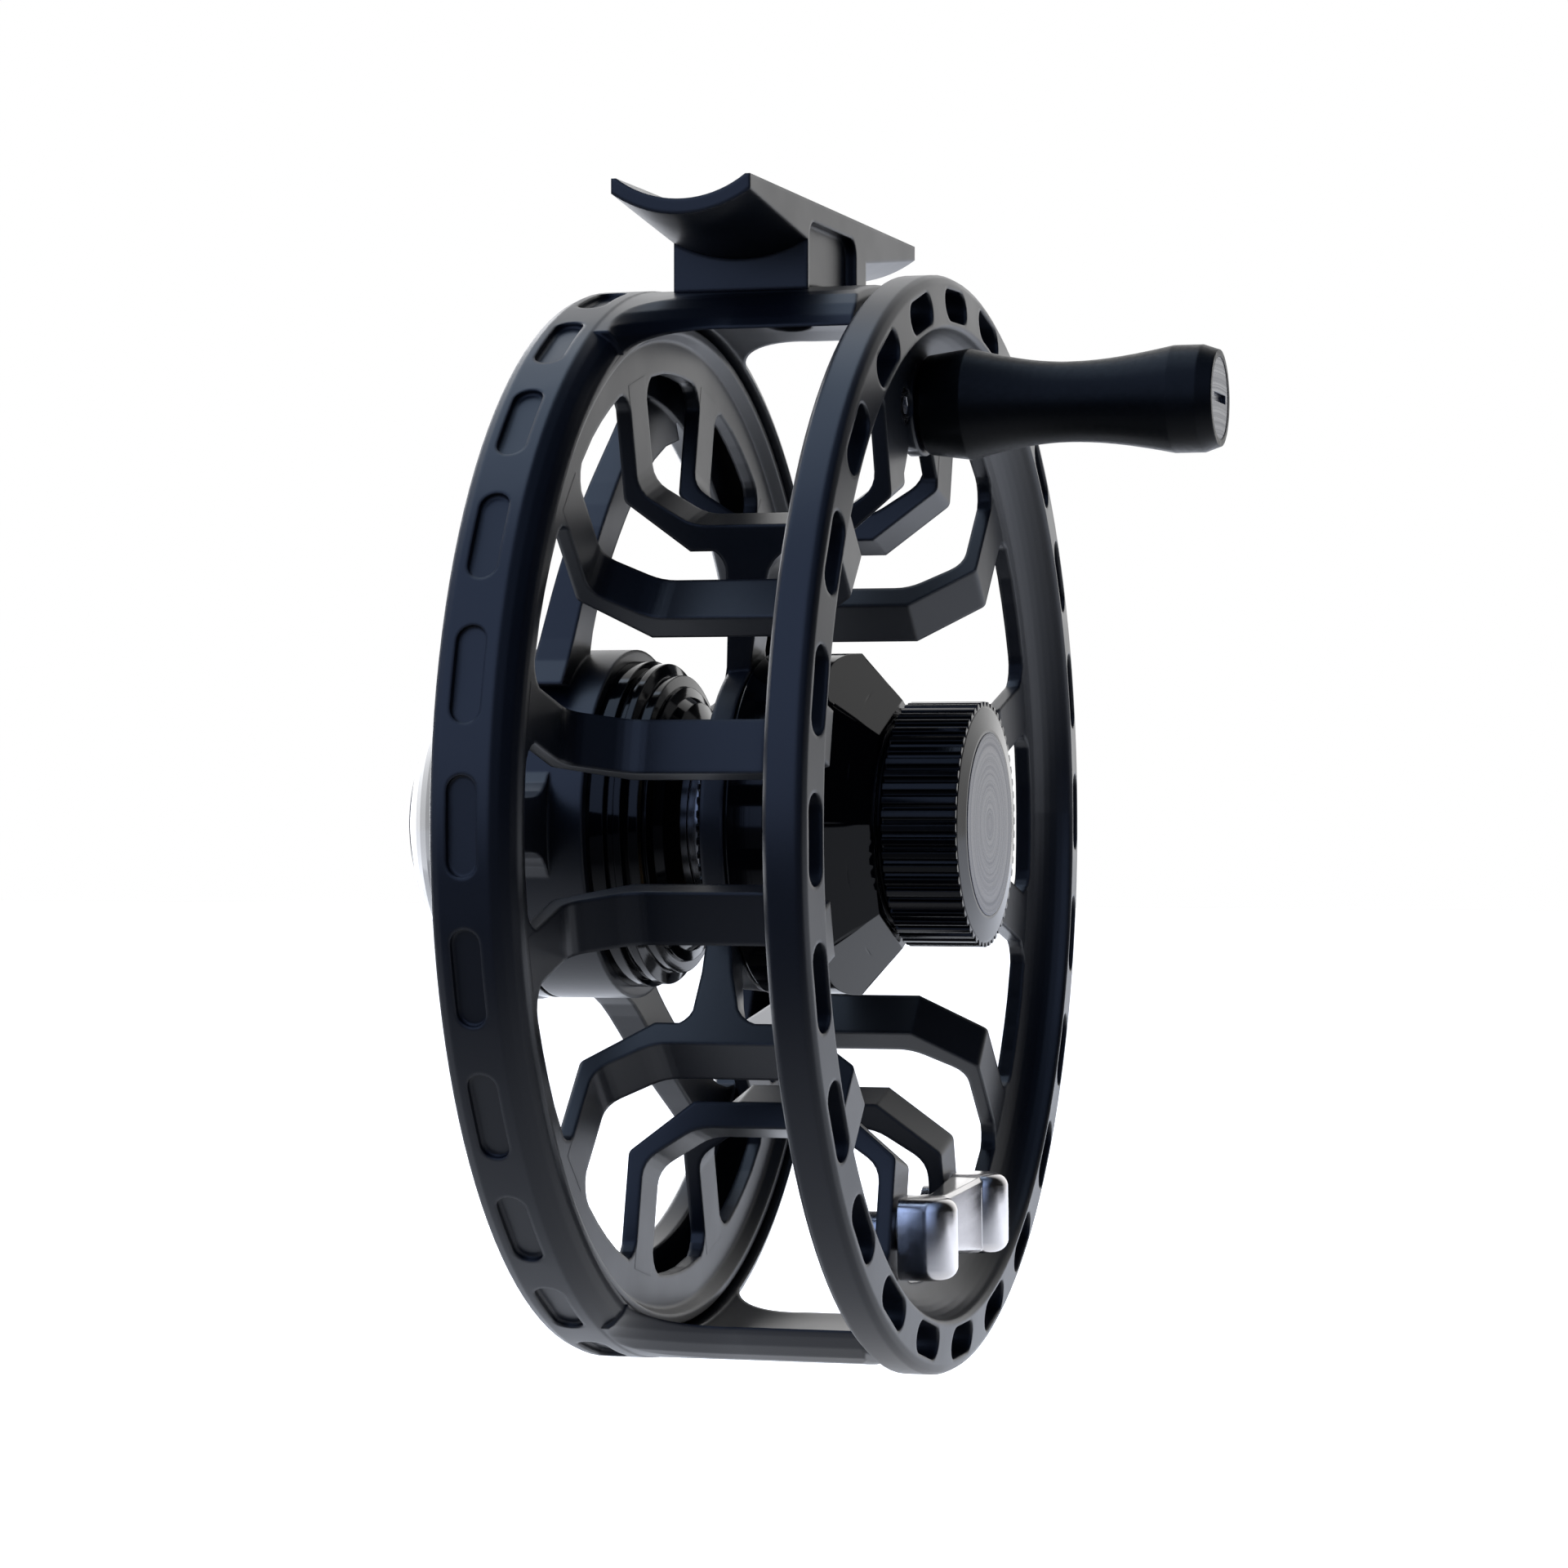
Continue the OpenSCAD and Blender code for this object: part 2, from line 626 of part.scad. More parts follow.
// Rod foot: a saddle on top of a short stem, hollowed under both ends.
module foot() {
    half = foot_len / 2;
    tip_r = saddle_r + 1.5;
    root_r = saddle_r + 3.7;
    left = foot_x - foot_w / 2;
    color(black) difference() {
        intersection() {
            translate([left, -half, 50]) cube([foot_w, foot_len, foot_edge - 50]);
            union() {
                translate([left - over, -stem_half, 50]) cube([foot_w + 2 * over, 2 * stem_half, 13.6]);
                for (turn = [0, 180])
                    translate([foot_x, 0, saddle_axis]) rotate([90 + turn, 0, 0])
                        translate([0, 0, stem_half - 0.5])
                            cylinder(r1 = root_r, r2 = tip_r, h = half - stem_half + 0.5);
            }
        }
        translate([foot_x, half + over, saddle_axis]) rotate([90, 0, 0])
            cylinder(r = saddle_r, h = foot_len + 2 * over);
        // seat on the upper bridge
        rod(ring_r - inset + slack, left - 2 * over, left + foot_w + 2 * over);
        for (s = [-1, 1])
            translate([foot_x, s * screw_y, 50]) cylinder(r = 1.55, h = 9.5);
        // blank recessed panel on the handle side, open towards the bridge
        translate([left + foot_w - 1.2, -1.6, 55.5]) rotate([90, 0, 90])
            linear_extrude(3) polygon(soft_box(17.6, 11.3, 1.8));
    }
}

module foot_screws() {
    color(steel) for (s = [-1, 1])
        translate([foot_x, s * screw_y, 0]) difference() {
            union() {
                translate([0, 0, 52.9]) cylinder(r = 2.4, h = 1.28);
                translate([0, 0, 54]) cylinder(r = 1.5, h = 5.4);
            }
            translate([0, 0, 52]) cylinder(r = 1.2, h = 1.8, $fn = 6);
        }
}

// Cup that holds the drag stack, with a stepped nose in front of the frame's hub.
module drag_housing() {
    wall_r = 13.6;
    nose = [[17, frame_hub_front + slack], [17, -15.6], [16.2, -15.4], [16.2, -14.8], [16.7, -14.6],
        [16.7, -13.9], [15.5, -13.4], [15.5, -12.4], [14.3, -12.2], [14.3, -11.9], [13.2, -11.5],
        [12.6, -10.6], [10.4, -9.5]];
    color(gloss) difference() {
        turned(concat([[wall_r, -25.6], [frame_hub_bore_r - slack, -25.6],
            [frame_hub_bore_r - slack, frame_hub_front + slack]], nose,
            [[neck_r + 0.4, -9.5], [neck_r + 0.4, -17.75], [wall_r, -17.75]]));
        at_polar(pawl_r, 0) rod(0.7 + slack, -12.6, -9);
    }
}

module housing_seal() {
    color(carbon) ring(neck_r + 0.38, neck_r + 0.02, -16.4, -15);
}

module rear_cover() {
    color(gloss) difference() {
        ring(frame_hub_r, spindle_r + slack, cover_back, cover_front);
        for (i = [0:2])
            at_polar(pin_ring_r, i * 120 + 90) rod(push_pin_r + fit, cover_back - over, cover_front + over);
        for (i = [0:2])
            at_polar(16.7, i * 120 + 30) rod(0.85, cover_back - over, cover_front + over);
    }
}

module cover_screws() {
    color(steel) for (i = [0:2])
        at_polar(16.7, i * 120 + 30) rod(0.75, cover_back + 0.1, -22.2);
}

// Fixed spindle with a flange behind the drag stack.
module spindle() {
    color(steel) turned([[0, -36], [spindle_r - 0.4, -36], [spindle_r, -35.6],
        [spindle_r, cover_front + slack], [6, cover_front + slack], [6, -24.9], [spindle_r, -24.9],
        [spindle_r, 14.2], [2.5, 14.2], [2.5, 14.9], [spindle_r, 14.9], [spindle_r - 0.5, 15.4],
        [0, 15.4]]);
}

module spindle_nut() {
    color(steel) difference() {
        along_x() translate([0, 0, 4.65]) cylinder(r = 5.3, h = 2, $fn = 6);
        rod(spindle_r + slack, 4, 7);
    }
}

module bearing_inner_rings() {
    color(steel) for (x = bearing_starts) {
        mid = x + bearing_w / 2;
        turned([[spindle_r + slack, x], [4.1, x], [4.1, mid - 0.6], [3.95, mid], [4.1, mid + 0.6],
            [4.1, x + bearing_w], [spindle_r + slack, x + bearing_w]]);
    }
}

module bearing_outer_rings() {
    color(steel) for (x = bearing_starts) {
        mid = x + bearing_w / 2;
        turned([[neck_in_r - slack, x], [5.5, x], [5.5, mid - 0.6], [5.65, mid], [5.5, mid + 0.6],
            [5.5, x + bearing_w], [neck_in_r - slack, x + bearing_w]]);
    }
}

module bearing_balls() {
    color(steel) for (x = bearing_starts) for (i = [0:7])
        at_polar(4.8, i * 45) translate([x + bearing_w / 2, 0, 0]) sphere(r = 0.78, $fn = 32);
}

module bearing_spacer() {
    x0 = bearing_starts[0] + bearing_w + slack;
    color(steel) ring(3.9, spindle_r + slack, x0, bearing_starts[1] - slack);
}

module spool_clip() {
    color(steel) difference() {
        ring(4.6, 2.5 + slack, 14.25, 14.85);
        translate([14, -1, 0]) cube([1.2, 2, 6]);
    }
}

// Two carbon discs, one on each side of the rotor's flange.
module friction_discs() {
    color(carbon) {
        ring(13.4, 8.3, -22.4, -20.9);
        ring(13.4, 8.3, -19.3, -17.8);
    }
}

module pawl_post() {
    color(steel) at_polar(pawl_r, 0) rod(0.7, -12.4, -5.45);
}

// Rotor that the spool's clutch drives, with the drag flange at its rear.
module drag_rotor() {
    color(steel) turned([[neck_in_r, -22.2], [neck_r, -22.2], [neck_r, -20.85], [13.2, -20.85],
        [13.2, -19.35], [neck_r, -19.35], [neck_r, 6.9], [neck_in_r, 6.9]]);
}

// ---------- rear drag knob ----------

// Dome of the knob's back as [radius, x], between two radii.
function dome(r0, r1, lift) = let (ball_r = 23.5 + lift, steps = 8)
    [for (i = [0:steps]) let (r = r0 + (r1 - r0) * i / steps) [r, -17.7 - sqrt(ball_r * ball_r - r * r)]];

// Domed knob with finger notches, threaded on the spindle.
module drag_knob() {
    color(gloss) difference() {
        turned(concat([[spindle_r + fit, -37.3], [8.05, -37.3]], dome(8.05, knob_r - 0.1, 0),
            [[knob_r, -31.9], [knob_r, -27.9], [knob_r - 0.4, -27.5], [12, -27.5], [12, -31.4],
            [spindle_r + fit, -31.4]]));
        for (i = [0:knob_notches - 1])
            at_polar(knob_r + 1.1, (i + 0.5) * 360 / knob_notches) rod(2.2, -45, -26);
    }
}

// Cover disc in the middle of the drag knob.
module drag_dome() {
    color("#3b3d42") turned(concat([[0, -37.32], [0, -41.3]], dome(0.5, 7.9, 0.1),
        [[8, -39.6], [8, -37.32]]));
}

// Pair of dished spring washers.
module spring_washers() {
    color(steel) {
        turned([[3.4, -31.3], [7.4, -30.7], [7.4, -30.3], [3.4, -30.9]]);
        turned([[3.4, -29.4], [7.4, -30.0], [7.4, -30.25], [3.4, -29.8]]);
    }
}

module thrust_washer() {
    color(steel) ring(11.2, spindle_r + fit, -29.3, -28.3);
}

module pressure_plate() {
    color(steel) ring(13.4, 8.6, -24.3, -22.8);
}

module push_pins() {
    color(steel) for (i = [0:2])
        at_polar(pin_ring_r, i * 120 + 90) rod(push_pin_r, -28.25, -24.3 - slack);
}

// ---------- click pawl ----------

module click_pawl() {
    color(steel) along_x() translate([0, 0, -6.7]) difference() {
        union() {
            translate([pawl_r, 0, 0]) cylinder(r = 1.25, h = 1.2);
            linear_extrude(1.2) polygon([[9.1, 0.2], [11, 0.3], [10.95, 2.2], [11.15, 2.95],
                [10.9, 3.2], [10, 2.4]]);
        }
        translate([pawl_r, 0, -over]) cylinder(r = 0.75, h = 4);
    }
}

frame_shell();
foot();
foot_screws();
rear_cover();
cover_screws();
drag_housing();
housing_seal();
spindle();
spindle_nut();
bearing_inner_rings();
bearing_balls();
bearing_spacer();
spool_clip();
friction_discs();
pawl_post();
drag_rotor();
bearing_outer_rings();
spool_body();
plate_screws();
hub_collar();
click_ring();
clutch_shell();
clutch_rollers();
spool_bushes();
latch_collet();
counterweight();
counterweight_screws();
handle_pin();
handle_nut();
handle_screw();
cap_core();
cap_knob();
cap_disc();
cap_seal();
handle_grip();
handle_bushes();
handle_end_cap();
drag_knob();
drag_dome();
spring_washers();
thrust_washer();
pressure_plate();
push_pins();
click_pawl();
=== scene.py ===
import json
import math

import bmesh
import bpy
from mathutils import Matrix, Vector

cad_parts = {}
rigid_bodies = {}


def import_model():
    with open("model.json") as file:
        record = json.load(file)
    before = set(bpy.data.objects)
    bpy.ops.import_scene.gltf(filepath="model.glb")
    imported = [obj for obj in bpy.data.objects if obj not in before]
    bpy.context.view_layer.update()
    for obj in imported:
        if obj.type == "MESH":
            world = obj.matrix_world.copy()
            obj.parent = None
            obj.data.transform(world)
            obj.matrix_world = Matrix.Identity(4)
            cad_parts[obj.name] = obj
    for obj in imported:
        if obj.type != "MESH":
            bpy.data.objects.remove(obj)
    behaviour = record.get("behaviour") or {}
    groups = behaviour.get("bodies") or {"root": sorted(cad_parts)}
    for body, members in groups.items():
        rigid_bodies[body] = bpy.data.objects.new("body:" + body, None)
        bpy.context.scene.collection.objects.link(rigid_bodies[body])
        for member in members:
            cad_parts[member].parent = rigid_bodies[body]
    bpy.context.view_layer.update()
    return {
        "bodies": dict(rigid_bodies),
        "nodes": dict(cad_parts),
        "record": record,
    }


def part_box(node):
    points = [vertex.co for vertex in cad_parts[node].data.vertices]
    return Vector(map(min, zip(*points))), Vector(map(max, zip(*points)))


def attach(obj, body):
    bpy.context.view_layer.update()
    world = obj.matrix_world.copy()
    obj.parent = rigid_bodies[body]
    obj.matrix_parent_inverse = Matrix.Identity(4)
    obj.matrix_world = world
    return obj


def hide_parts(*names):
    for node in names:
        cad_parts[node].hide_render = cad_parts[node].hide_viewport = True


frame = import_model()
MM = 0.001

# The counterweight, in mm: its distance from the axis and its turn in degrees, its bars and its waist.
WEIGHT_REACH, WEIGHT_TURN = 41.2, 2.3
BAR_HALF, BAR_TALL, BAR_SOFT, BAR_APART = 2.9, 4.15, 1.5, 10.6
PAD_RADIUS, PAD_LIFT = 2.3, 1
WAIST_FRONT, WAIST_TALL, WAIST_FULL, WAIST_END, WAIST_EDGE = 15.8, 3.1, 7.6, 8.6, 0.4


# ---------- materials ----------

BROKEN_EDGE = 0.55 * MM
TURNED_EDGE = 0.2 * MM
MOULDED_EDGE = 0.3 * MM
# Width of the paler edges, which are both edge wear and a painted edge highlight.
WEAR_AND_SHEEN_WIDTH = 0.2 * MM


def new_material(name):
    """A node material with its principled shader, as (material, nodes, links, shader)."""
    material = bpy.data.materials.new(name)
    material.use_nodes = True
    nodes = material.node_tree.nodes
    return material, nodes, material.node_tree.links, nodes["Principled BSDF"]


def object_coordinates(nodes):
    """Object coordinates in metres."""
    return nodes.new("ShaderNodeTexCoord").outputs["Object"]


def noise(nodes, links, vector, scale, detail, roughness=0.5):
    """Noise from 0 to 1, with scale cycles a metre."""
    texture = nodes.new("ShaderNodeTexNoise")
    texture.inputs["Scale"].default_value = scale
    texture.inputs["Detail"].default_value = detail
    texture.inputs["Roughness"].default_value = roughness
    links.new(vector, texture.inputs["Vector"])
    return texture.outputs["Fac"]


def spread(nodes, links, value, low, high, start=0.3, end=0.7):
    """Value from start..end spread over low..high."""
    remap = nodes.new("ShaderNodeMapRange")
    remap.inputs["From Min"].default_value = start
    remap.inputs["From Max"].default_value = end
    remap.inputs["To Min"].default_value = low
    remap.inputs["To Max"].default_value = high
    links.new(value, remap.inputs["Value"])
    return remap.outputs["Result"]


def mix_colour(nodes, links, amount, dark, light):
    """A colour from dark to light by amount; each colour is three numbers or a socket."""
    mix = nodes.new("ShaderNodeMix")
    mix.data_type = "RGBA"
    for socket, colour in (("A", dark), ("B", light)):
        target = [s for s in mix.inputs if s.name == socket and s.type == "RGBA"][0]
        if isinstance(colour, tuple):
            target.default_value = (*colour, 1)
        else:
            links.new(colour, target)
    factor = [s for s in mix.inputs if s.name == "Factor" and s.type == "VALUE"][0]
    links.new(amount, factor)
    return [s for s in mix.outputs if s.type == "RGBA"][0]


def edge_mask(nodes, links, radius):
    """Near 1 on sharp edges and 0 on flat faces."""
    bevel = nodes.new("ShaderNodeBevel")
    bevel.samples = 4
    bevel.inputs["Radius"].default_value = radius
    geometry = nodes.new("ShaderNodeNewGeometry")
    dot = nodes.new("ShaderNodeVectorMath")
    dot.operation = "DOT_PRODUCT"
    links.new(bevel.outputs["Normal"], dot.inputs[0])
    links.new(geometry.outputs["Normal"], dot.inputs[1])
    return spread(nodes, links, dot.outputs["Value"], 1.0, 0.0, 0.80, 0.98)


def bump(nodes, links, height, strength, distance, shader, radius):
    """Relief from height on top of edges that are rounded by radius in the shading."""
    node = nodes.new("ShaderNodeBump")
    node.inputs["Strength"].default_value = strength
    node.inputs["Distance"].default_value = distance
    links.new(height, node.inputs["Height"])
    bevel = nodes.new("ShaderNodeBevel")
    bevel.samples = 6
    bevel.inputs["Radius"].default_value = radius
    links.new(bevel.outputs["Normal"], node.inputs["Normal"])
    links.new(node.outputs["Normal"], shader.inputs["Normal"])


def with_wear_and_edge_sheen(nodes, links, vector, body, wear_and_sheen):
    """The body colour, with patches of a paler colour along sharp edges: edge wear that also stands in as a
    painted edge highlight.
    """
    patches = spread(nodes, links, noise(nodes, links, vector, 420, 5, 0.7), 0.25, 1.0, 0.42, 0.62)
    # Painted edge highlight and wear: the edge mask times the noise patches.
    wear_and_sheen_mask = nodes.new("ShaderNodeMath")
    wear_and_sheen_mask.operation = "MULTIPLY"
    links.new(edge_mask(nodes, links, WEAR_AND_SHEEN_WIDTH), wear_and_sheen_mask.inputs[0])
    links.new(patches, wear_and_sheen_mask.inputs[1])
    return mix_colour(nodes, links, wear_and_sheen_mask.outputs["Value"], body, wear_and_sheen)


def paler(colour):
    """The paler colour of a material's edges: edge wear that also stands in as a painted edge highlight."""
    return tuple(min(0.9, 2.0 * channel + 0.006) for channel in colour)


def blasted(name, dark, light, rough, wear_and_sheen):
    """Bead-blasted and anodised metal: a fine grain, faint clouds, and paler edges that are both wear and a
    painted edge highlight.
    """
    material, nodes, links, shader = new_material(name)
    vector = object_coordinates(nodes)
    clouds = noise(nodes, links, vector, 55, 4)
    grain = noise(nodes, links, vector, 5200, 2)
    body = mix_colour(nodes, links, clouds, dark, light)
    links.new(with_wear_and_edge_sheen(nodes, links, vector, body, wear_and_sheen), shader.inputs["Base Color"])
    links.new(spread(nodes, links, clouds, rough - 0.05, rough + 0.05), shader.inputs["Roughness"])
    bump(nodes, links, grain, 0.12, 0.00004, shader, BROKEN_EDGE)
    return material


def turned_metal(name, dark, light, rough, metallic, coat=0.0, lines=2600, strength=0.1, level=0.5):
    """Metal turned on a lathe about X: fine rings around the axis."""
    material, nodes, links, shader = new_material(name)
    vector = object_coordinates(nodes)
    split = nodes.new("ShaderNodeSeparateXYZ")
    links.new(vector, split.inputs["Vector"])
    across = nodes.new("ShaderNodeCombineXYZ")
    links.new(split.outputs["Y"], across.inputs["Y"])
    links.new(split.outputs["Z"], across.inputs["Z"])
    length = nodes.new("ShaderNodeVectorMath")
    length.operation = "LENGTH"
    links.new(across.outputs["Vector"], length.inputs[0])
    radial = nodes.new("ShaderNodeCombineXYZ")
    links.new(length.outputs["Value"], radial.inputs["X"])
    links.new(split.outputs["X"], radial.inputs["Y"])
    rings = noise(nodes, links, radial.outputs["Vector"], lines, 2, 0.6)
    clouds = noise(nodes, links, vector, 90, 4)
    body = mix_colour(nodes, links, clouds, dark, light)
    # Paler edges: edge wear and a painted edge highlight.
    links.new(with_wear_and_edge_sheen(nodes, links, vector, body, paler(light)), shader.inputs["Base Color"])
    links.new(spread(nodes, links, rings, rough * 0.75, rough * 1.3), shader.inputs["Roughness"])
    shader.inputs["Metallic"].default_value = metallic
    shader.inputs["Specular IOR Level"].default_value = level
    shader.inputs["Coat Weight"].default_value = coat
    shader.inputs["Coat Roughness"].default_value = 0.08
    bump(nodes, links, rings, strength, 0.00003, shader, TURNED_EDGE)
    return material


def moulded(name, dark, light, rough, scale=1800, level=0.5):
    """Matte moulded plastic or rubber with a fine texture."""
    material, nodes, links, shader = new_material(name)
    vector = object_coordinates(nodes)
    body = mix_colour(nodes, links, noise(nodes, links, vector, 120, 4), dark, light)
    # Paler edges: edge wear and a painted edge highlight.
    links.new(with_wear_and_edge_sheen(nodes, links, vector, body, paler(light)), shader.inputs["Base Color"])
    grain = noise(nodes, links, vector, scale, 3)
    links.new(spread(nodes, links, grain, rough - 0.06, rough + 0.06), shader.inputs["Roughness"])
    shader.inputs["Specular IOR Level"].default_value = level
    bump(nodes, links, grain, 0.15, 0.00005, shader, MOULDED_EDGE)
    return material


MATERIALS = {
    # The last colour given to blasted() is the paler edge colour: wear and a painted edge highlight.
    "anodised_black": blasted(
        "anodised_black", (0.0040, 0.0056, 0.0098), (0.0068, 0.0088, 0.0145), 0.33, (0.030, 0.033, 0.045)),
    "gloss_black": turned_metal(
        "gloss_black", (0.0008, 0.0009, 0.0015), (0.0018, 0.0020, 0.0032), 0.09, 0.0, coat=0.1, level=0.18),
    "graphite": turned_metal(
        "graphite", (0.060, 0.064, 0.080), (0.085, 0.090, 0.110), 0.30, 0.9, lines=5200, strength=0.25),
    "dark_disc": turned_metal(
        "dark_disc", (0.040, 0.043, 0.062), (0.055, 0.059, 0.082), 0.26, 0.7, lines=5200, strength=0.12),
    "handle_black": moulded(
        "handle_black", (0.0020, 0.0026, 0.0034), (0.0035, 0.0042, 0.0052), 0.36, level=0.16),
    "polished_steel": turned_metal(
        "polished_steel", (0.74, 0.72, 0.72), (0.88, 0.86, 0.86), 0.20, 1.0, lines=900, strength=0.05),
    "machined_steel": turned_metal("machined_steel", (0.42, 0.42, 0.44), (0.56, 0.56, 0.58), 0.24, 1.0),
    "bronze": turned_metal("bronze", (0.30, 0.19, 0.08), (0.42, 0.28, 0.12), 0.35, 1.0),
    "carbon": moulded("carbon", (0.015, 0.015, 0.017), (0.035, 0.035, 0.038), 0.5, scale=2600),
    "seal_rubber": moulded("seal_rubber", (0.008, 0.008, 0.008), (0.014, 0.014, 0.014), 0.6),
}
SLOTS = {row["node"]: row["material_slot"] for row in frame["record"]["subparts"]}


def dress_cad_nodes():
    """Gives each CAD node the material of its slot in the record; the cap's disc is a darker graphite."""
    for name, obj in frame["nodes"].items():
        obj.data.materials.clear()
        obj.data.materials.append(MATERIALS["dark_disc" if name == "cap_disc" else SLOTS[name]])


# ---------- the counterweight ----------

def skin(bm, rings):
    """Faces between rings of points, each ring closed, and a cap on the first and the last."""
    loops = [[bm.verts.new(point) for point in ring] for ring in rings]
    for low, high in zip(loops, loops[1:]):
        for i, vert in enumerate(low):
            j = (i + 1) % len(low)
            bm.faces.new((vert, low[j], high[j], high[i]))
    bm.faces.new(loops[0][::-1])
    bm.faces.new(loops[-1])


def around(radius, start, end, step):
    """Points of an arc in a plane, with its angles in degrees."""
    angles = [math.radians(angle) for angle in range(start, end, step)]
    return [(radius * math.cos(angle), radius * math.sin(angle)) for angle in angles]


def add_bar(bm, side, base, nose):
    """An upright bar with a round nose and soft top and bottom edges."""
    rings = []
    for step in range(-9, 10):
        t = math.radians(abs(step) * 10)
        radius = BAR_HALF - BAR_SOFT * (1 - math.cos(t))
        z = math.copysign(BAR_TALL - BAR_SOFT + BAR_SOFT * math.sin(t), step) if step else 0
        front = [(nose - BAR_HALF + x, y) for x, y in around(radius, -90, 91, 6)]
        outline = [(base, -radius)] + front + [(base, radius)]
        rings.append([(x, side * BAR_APART + y, z) for x, y in outline])
    skin(bm, rings)


def add_pad(bm, side, low, high):
    """A round pad between a bar and the spool, over the bar's screw."""
    skin(bm, [[(x, side * BAR_APART + y, PAD_LIFT + z) for y, z in around(PAD_RADIUS, 0, 360, 10)]
              for x in (low, high)])


def add_waist(bm, base):
    """The web between the bars, which dips in the middle and has its front edges broken."""
    rings = []
    for y in (-WAIST_END, -WAIST_FULL, 0, WAIST_FULL, WAIST_END):
        reach = min(abs(y), WAIST_FULL) / WAIST_FULL
        front, z = WAIST_FRONT + 1.4 * reach, WAIST_TALL + 0.8 * reach
        rings.append([(base, y, -z), (front - WAIST_EDGE, y, -z), (front, y, WAIST_EDGE - z),
                      (front, y, z - WAIST_EDGE), (front - WAIST_EDGE, y, z), (base, y, z)])
    skin(bm, rings)


def build_counterweight():
    """Two polished upright bars joined by a waist, drawn in mm and then put in place on the spool."""
    low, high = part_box("counterweight")
    web, nose = low.x / MM, high.x / MM - 0.2
    base = web + 0.38
    bm = bmesh.new()
    for side in (-1, 1):
        add_bar(bm, side, base, nose)
        add_pad(bm, side, web, base + 0.3)
    add_waist(bm, base + 0.05)
    bmesh.ops.recalc_face_normals(bm, faces=bm.faces)
    mesh = bpy.data.meshes.new("counterweight_polished")
    bm.to_mesh(mesh)
    bm.free()
    turn = Matrix.Rotation(math.radians(WEIGHT_TURN), 4, "X")
    mesh.transform(Matrix.Scale(MM, 4) @ turn @ Matrix.Translation((0, 0, -WEIGHT_REACH)))
    for polygon in mesh.polygons:
        polygon.use_smooth = True
    mesh.set_sharp_from_angle(angle=math.radians(30))
    mesh.materials.append(MATERIALS[SLOTS["counterweight"]])
    piece = bpy.data.objects.new("counterweight_polished", mesh)
    bpy.context.scene.collection.objects.link(piece)
    holder = frame["nodes"]["counterweight"].parent
    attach(piece, next(body for body, empty in frame["bodies"].items() if empty == holder))
    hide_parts("counterweight")


# ---------- camera, lights and floor ----------

FLOOR_SIZE, FLOOR_LEVEL, FLOOR_FADE = 6, -0.078, (-0.16, 0.10)


def look_at(obj, target):
    """Turns a camera or light towards a point."""
    obj.rotation_euler = (Vector(target) - obj.location).to_track_quat("-Z", "Y").to_euler()


def add_camera():
    """A long lens, from the handle's side and level with the spindle."""
    azimuth, elevation, distance = math.radians(16.13), math.radians(0.25), 477.64 * MM
    right = Vector((math.cos(azimuth), math.sin(azimuth), 0))
    back = Vector((math.sin(azimuth) * math.cos(elevation), -math.cos(azimuth) * math.cos(elevation),
                   math.sin(elevation)))
    middle = Vector((2 * MM, 0, 0))
    data = bpy.data.cameras.new("camera")
    data.lens = 106.1
    data.sensor_width = 36
    data.clip_start = 0.01
    camera = bpy.data.objects.new("camera", data)
    bpy.context.scene.collection.objects.link(camera)
    camera.location = middle + back * distance
    look_at(camera, middle - right * 3.37 * MM + Vector((0, 0, 4.15 * MM)))
    bpy.context.scene.camera = camera
    return camera


def add_area(name, location, power, colour):
    """A soft square light that points at the middle of the reel."""
    data = bpy.data.lights.new(name, "AREA")
    data.energy = power
    data.color = colour
    data.size = 0.5
    light = bpy.data.objects.new(name, data)
    bpy.context.scene.collection.objects.link(light)
    light.location = location
    look_at(light, (0, 0, 0))


def towards(nodes, links, direction, aim, low, high, start, end):
    """Value from low to high as a direction turns towards aim."""
    dot = nodes.new("ShaderNodeVectorMath")
    dot.operation = "DOT_PRODUCT"
    links.new(direction, dot.inputs[0])
    dot.inputs[1].default_value = Vector(aim).normalized()
    return spread(nodes, links, dot.outputs["Value"], low, high, start, end)


def for_camera(nodes, links, seen, otherwise):
    """The value seen for camera rays, and otherwise for every other ray."""
    path = nodes.new("ShaderNodeLightPath")
    mix = nodes.new("ShaderNodeMix")
    links.new(path.outputs["Is Camera Ray"], mix.inputs[0])
    links.new(otherwise, mix.inputs[2])
    mix.inputs[3].default_value = seen
    return mix.outputs[0]


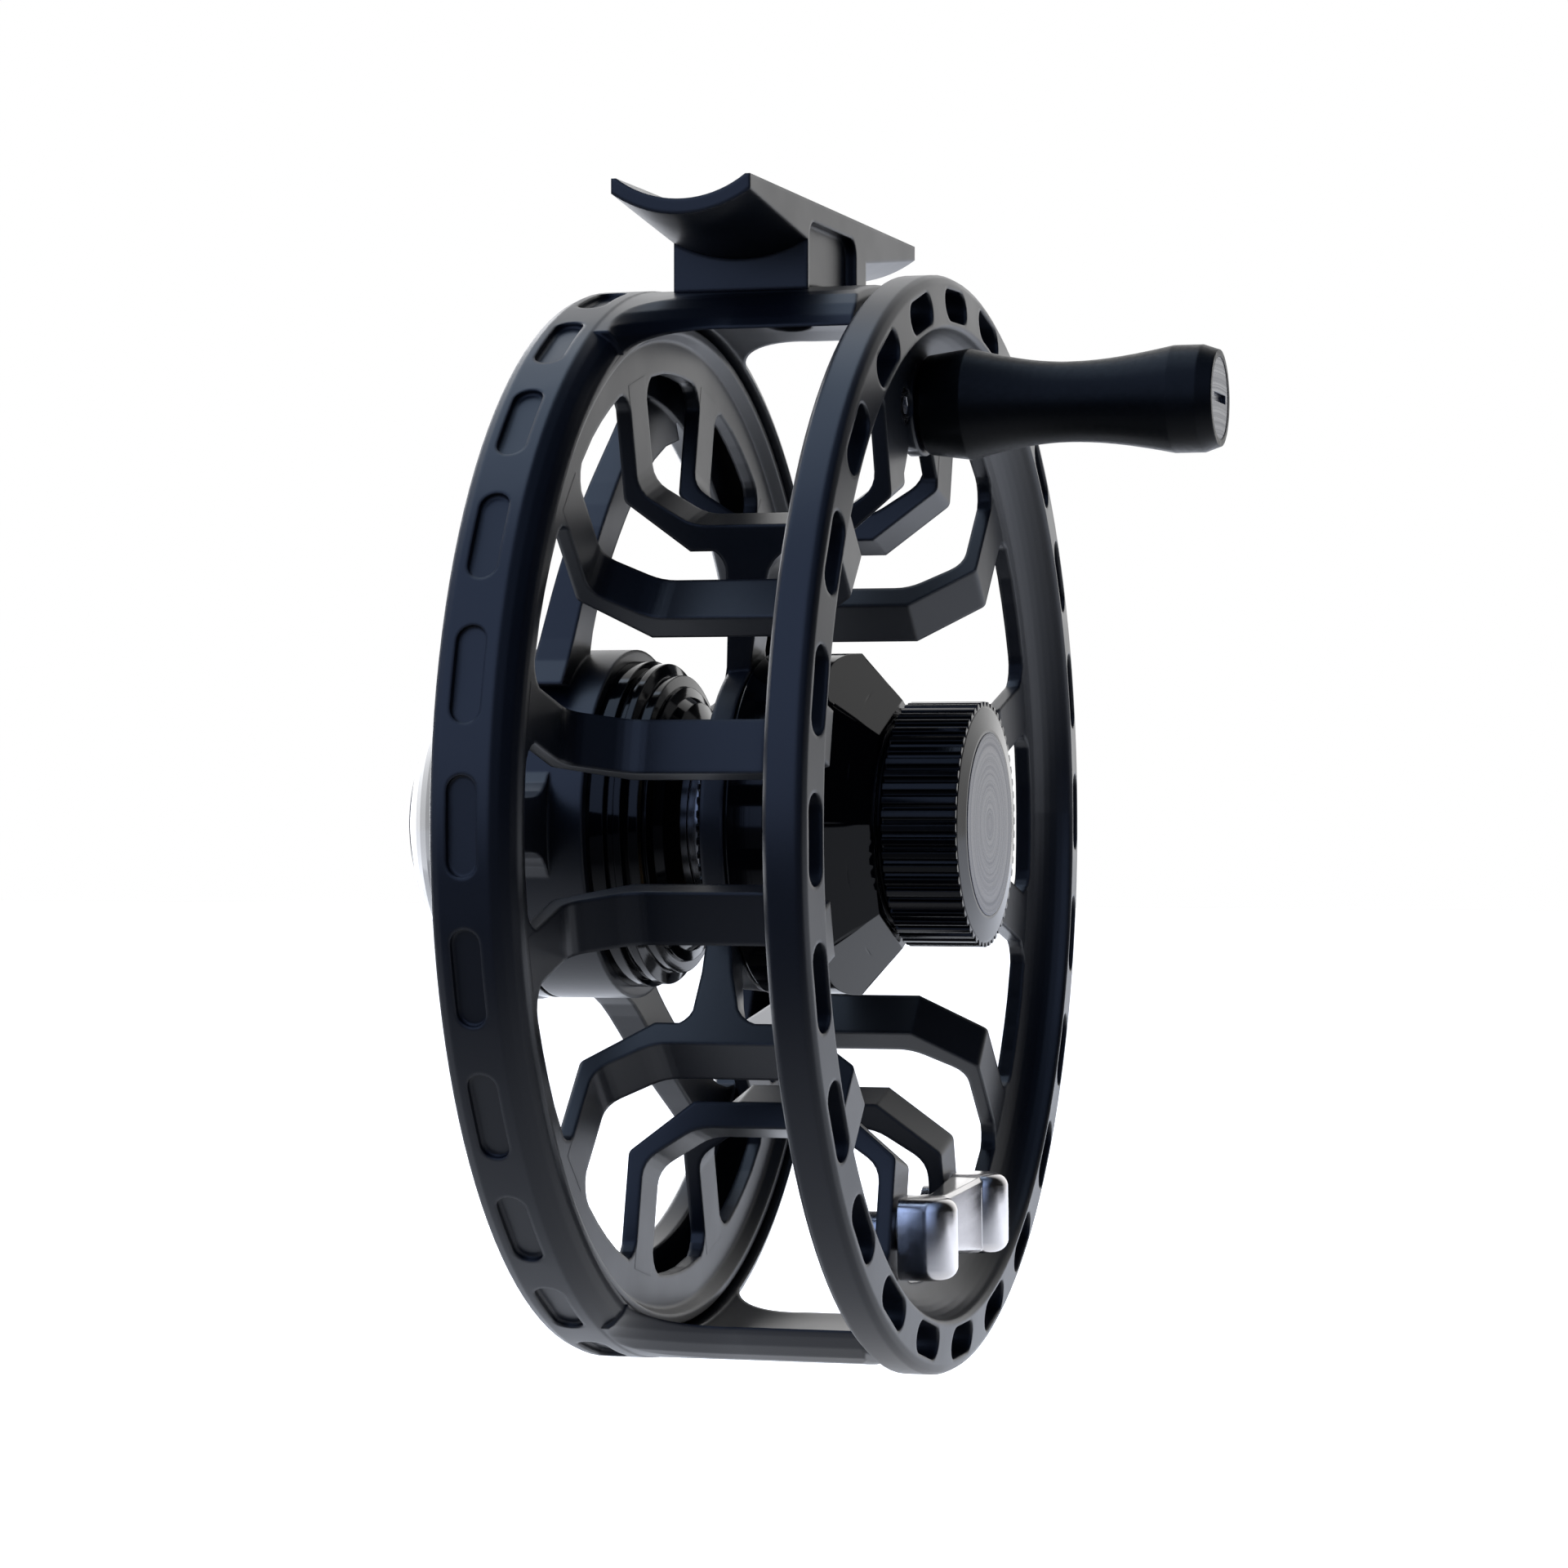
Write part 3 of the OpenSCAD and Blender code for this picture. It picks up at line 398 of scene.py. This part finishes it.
def add_world(camera):
    """A studio that is white behind the object, dim on the camera's side and bluish from the upper left."""
    world = bpy.data.worlds.new("studio")
    bpy.context.scene.world = world
    world.use_nodes = True
    nodes, links = world.node_tree.nodes, world.node_tree.links
    plain = nodes["Background"]
    plain.inputs["Color"].default_value = (1, 1, 1, 1)
    direction = nodes.new("ShaderNodeTexCoord").outputs["Generated"]
    glow = None
    # Each glow: its colour, where it is, its strength away from it and at it, and where it starts and ends.
    for colour, aim, low, high, start, end in (
            ((1.00, 1.00, 1.00), -camera.location, 0.008, 1.30, 0.30, 0.92),
            ((0.46, 0.60, 1.00), (-0.45, -0.88, 0.25), 0.0, 0.85, 0.25, 1.0),
            ((0.42, 0.60, 1.00), (-0.40, -0.50, 0.76), 0.0, 0.42, 0.35, 1.0)):
        part = nodes.new("ShaderNodeBackground")
        part.inputs["Color"].default_value = (*colour, 1)
        links.new(towards(nodes, links, direction, aim, low, high, start, end), part.inputs["Strength"])
        if glow:
            both = nodes.new("ShaderNodeAddShader")
            links.new(glow, both.inputs[0])
            links.new(part.outputs["Background"], both.inputs[1])
            glow = both.outputs["Shader"]
        else:
            glow = part.outputs["Background"]
    path = nodes.new("ShaderNodeLightPath")
    mix = nodes.new("ShaderNodeMixShader")
    links.new(path.outputs["Is Camera Ray"], mix.inputs["Fac"])
    links.new(glow, mix.inputs[1])
    links.new(plain.outputs["Background"], mix.inputs[2])
    links.new(mix.outputs["Shader"], nodes["World Output"].inputs["Surface"])


def add_floor():
    """A pale floor well below the reel that glows: evenly white to the camera, and for every other ray a
    painted glow and painted shade that dim towards the camera.
    """
    bpy.ops.mesh.primitive_plane_add(size=FLOOR_SIZE, location=(0, 0, FLOOR_LEVEL))
    floor = bpy.context.object
    floor.name = "floor"
    material, nodes, links, shader = new_material("floor")
    place = nodes.new("ShaderNodeSeparateXYZ")
    links.new(nodes.new("ShaderNodeTexCoord").outputs["Object"], place.inputs["Vector"])
    # Painted light and shade, seen only in reflections and bounced light: the glow and the grey fade from
    # bright far away to dim towards the camera.
    glow = spread(nodes, links, place.outputs["Y"], 0.02, 0.75, *FLOOR_FADE)
    grey = for_camera(nodes, links, 0.95, spread(nodes, links, place.outputs["Y"], 0.05, 0.9, *FLOOR_FADE))
    links.new(grey, shader.inputs["Base Color"])
    shader.inputs["Roughness"].default_value = 0.9
    shader.inputs["Emission Color"].default_value = (1, 1, 1, 1)
    links.new(for_camera(nodes, links, 1.0, glow), shader.inputs["Emission Strength"])
    floor.data.materials.append(material)


dress_cad_nodes()
build_counterweight()
camera = add_camera()
add_world(camera)
add_floor()
add_area("top_soft", (-0.20, 0.05, 0.50), 0.9, (0.62, 0.78, 1.0))
add_area("kicker_left", (-0.45, 0.30, 0.1), 2.0, (0.93, 0.95, 1.0))
bpy.context.scene.view_settings.view_transform = "Standard"
